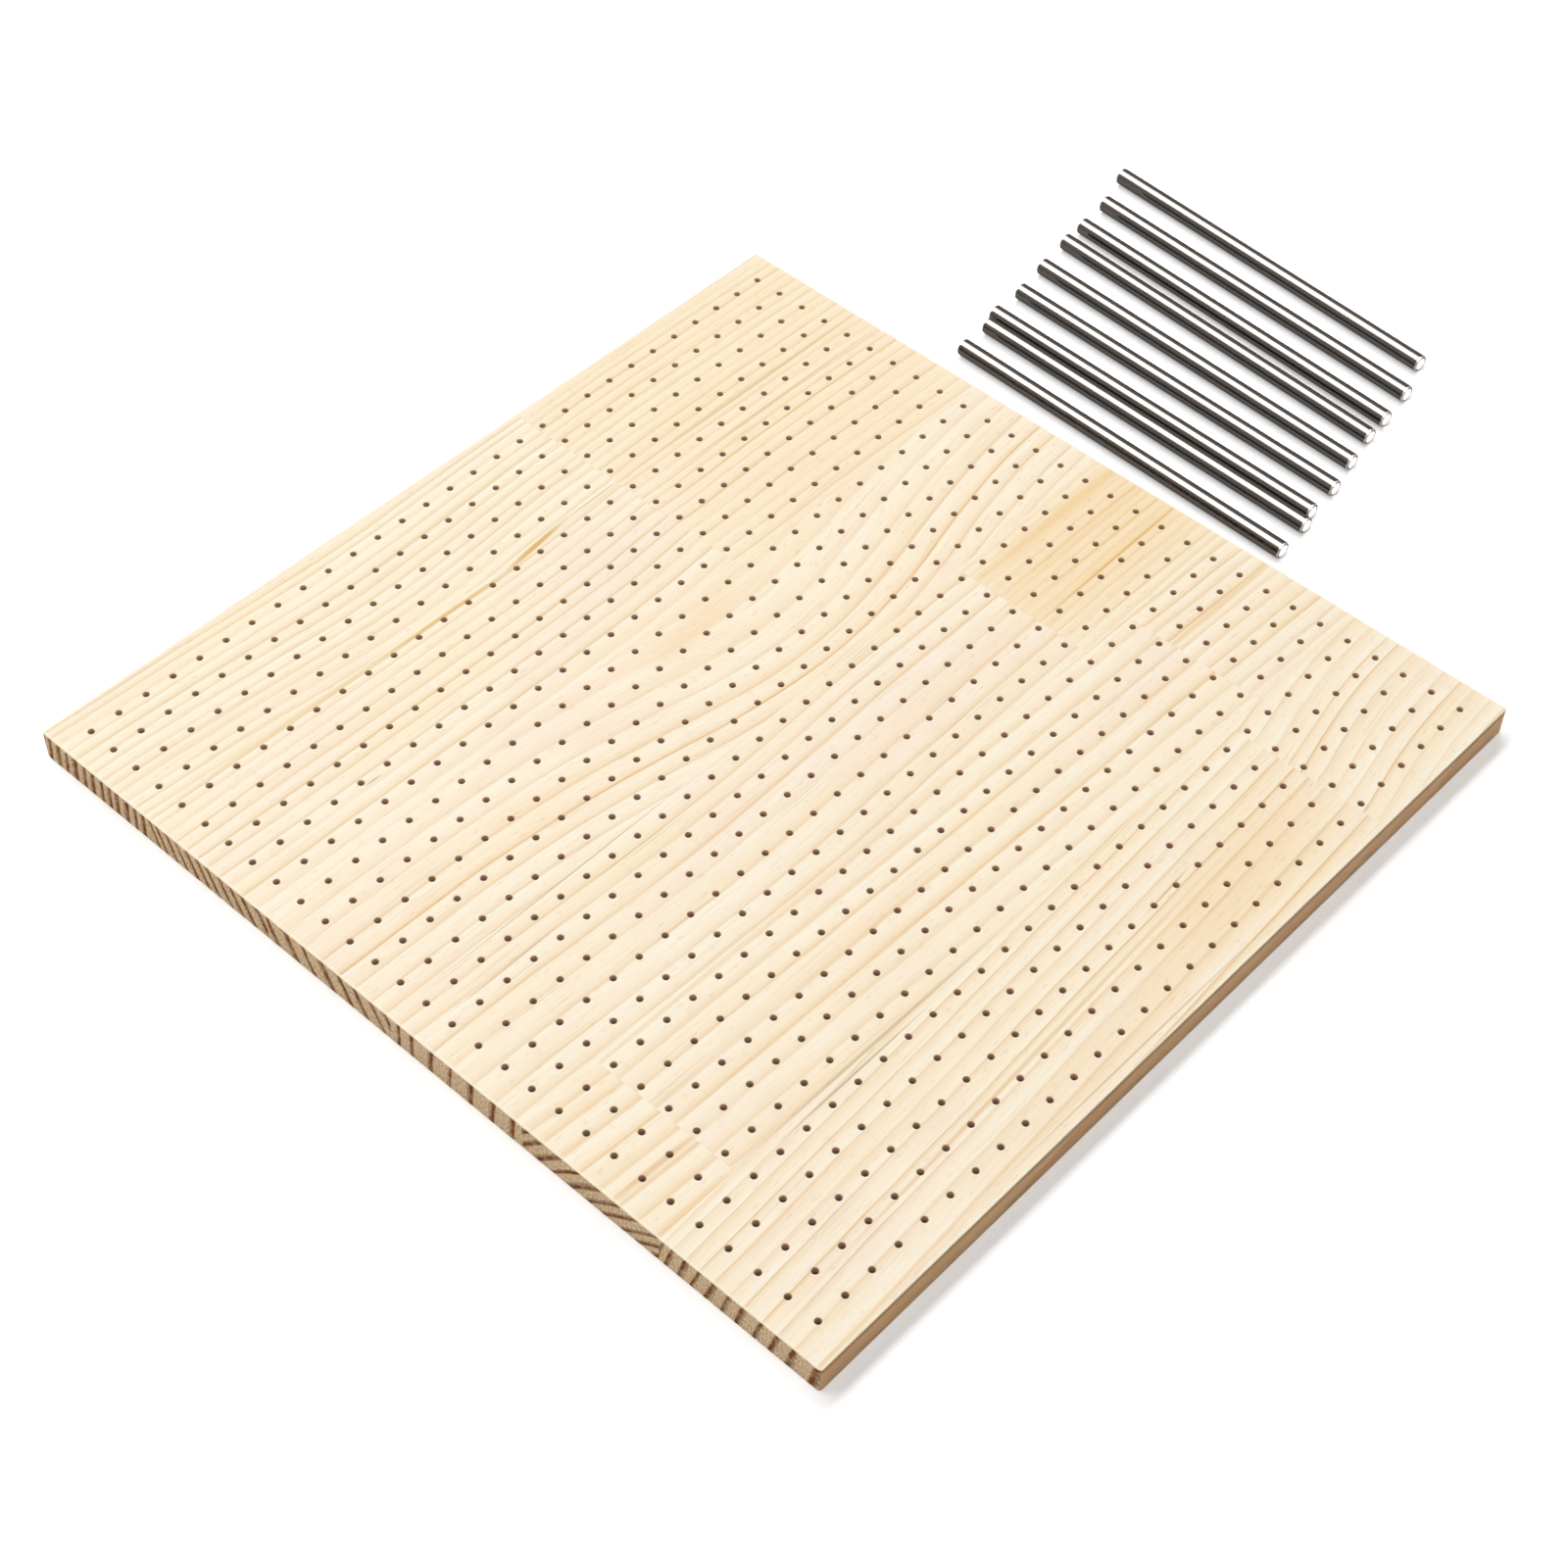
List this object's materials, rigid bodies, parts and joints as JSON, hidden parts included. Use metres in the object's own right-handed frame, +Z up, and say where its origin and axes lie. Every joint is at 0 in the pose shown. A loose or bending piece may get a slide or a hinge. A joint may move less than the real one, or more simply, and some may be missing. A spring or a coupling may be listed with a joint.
{
  "type": "blocking board",
  "caption": "Square edge-glued pine blocking board with a close grid of blind peg holes, and a loose set of plain steel pins lying behind it.",
  "frame": {"origin": "centre of the board's underside", "axes": "+Z up out of the drilled face, +Y along the grain towards the pins, +X across the staves"},
  "size_m": [0.3, 0.4305, 0.01],
  "materials": {
    "pine": "planed, unvarnished",
    "tan_pine": "planed, unvarnished",
    "stainless_steel": "smooth, bright drawn"
  },
  "bodies": {
    "board": {"left_edge_stave_front": "pine", "left_edge_stave_back": "pine", "second_stave_front": "pine", "second_stave_back": "pine", "third_stave": "pine", "fourth_stave_front": "pine", "fourth_stave_back": "tan_pine", "fifth_stave_front": "pine", "fifth_stave_middle": "pine", "fifth_stave_back": "pine", "right_edge_stave_front": "pine", "right_edge_stave_back": "pine"},
    "pin_1": {"steel_pin_1": "stainless_steel"},
    "pin_2": {"steel_pin_2": "stainless_steel"},
    "pin_3": {"steel_pin_3": "stainless_steel"},
    "pin_4": {"steel_pin_4": "stainless_steel"},
    "pin_5": {"steel_pin_5": "stainless_steel"},
    "pin_6": {"steel_pin_6": "stainless_steel"},
    "pin_7": {"steel_pin_7": "stainless_steel"},
    "pin_8": {"steel_pin_8": "stainless_steel"},
    "pin_9": {"steel_pin_9": "stainless_steel"}
  },
  "joints": [
    {"name": "pin_1_lift", "type": "slide", "parent": "board", "child": "pin_1", "axis": [0, 0, 1], "range_m": [0, 0.08]},
    {"name": "pin_2_lift", "type": "slide", "parent": "board", "child": "pin_2", "axis": [0, 0, 1], "range_m": [0, 0.08]},
    {"name": "pin_3_lift", "type": "slide", "parent": "board", "child": "pin_3", "axis": [0, 0, 1], "range_m": [0, 0.08]},
    {"name": "pin_4_lift", "type": "slide", "parent": "board", "child": "pin_4", "axis": [0, 0, 1], "range_m": [0, 0.08]},
    {"name": "pin_5_lift", "type": "slide", "parent": "board", "child": "pin_5", "axis": [0, 0, 1], "range_m": [0, 0.08]},
    {"name": "pin_6_lift", "type": "slide", "parent": "board", "child": "pin_6", "axis": [0, 0, 1], "range_m": [0, 0.08]},
    {"name": "pin_7_lift", "type": "slide", "parent": "board", "child": "pin_7", "axis": [0, 0, 1], "range_m": [0, 0.08]},
    {"name": "pin_8_lift", "type": "slide", "parent": "board", "child": "pin_8", "axis": [0, 0, 1], "range_m": [0, 0.08]},
    {"name": "pin_9_lift", "type": "slide", "parent": "board", "child": "pin_9", "axis": [0, 0, 1], "range_m": [0, 0.08]}
  ]
}
